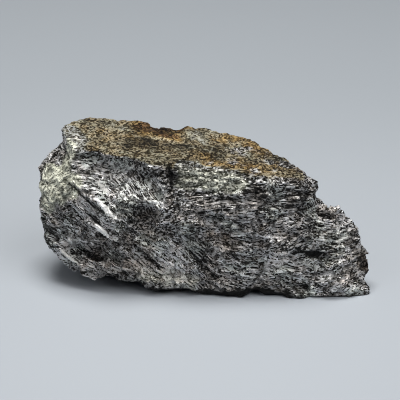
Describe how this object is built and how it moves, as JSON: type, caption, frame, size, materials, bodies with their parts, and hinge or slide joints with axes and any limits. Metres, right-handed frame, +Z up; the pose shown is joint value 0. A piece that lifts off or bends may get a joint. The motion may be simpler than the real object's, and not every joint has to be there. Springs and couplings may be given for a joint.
{
  "type": "raw nuummite stone",
  "caption": "Rough elongated lump of dark fibrous amphibole rock, blunt at one end and tapering at the other, with a flat-lying top and an irregular flat patch to rest on.",
  "frame": {"origin": "bottom centre of the bounding box, on the plane the stone rests on", "axes": "+X along the stone from its blunt end to its thin end, +Y from its broad front to its back, +Z up"},
  "size_m": [0.0906, 0.0358, 0.0408],
  "materials": {
    "nuummite_stone": "broken rock, near-black with silver-grey fibres and an ochre weathered top"
  },
  "bodies": {
    "root": {"nuummite_stone": "nuummite_stone"}
  },
  "joints": []
}
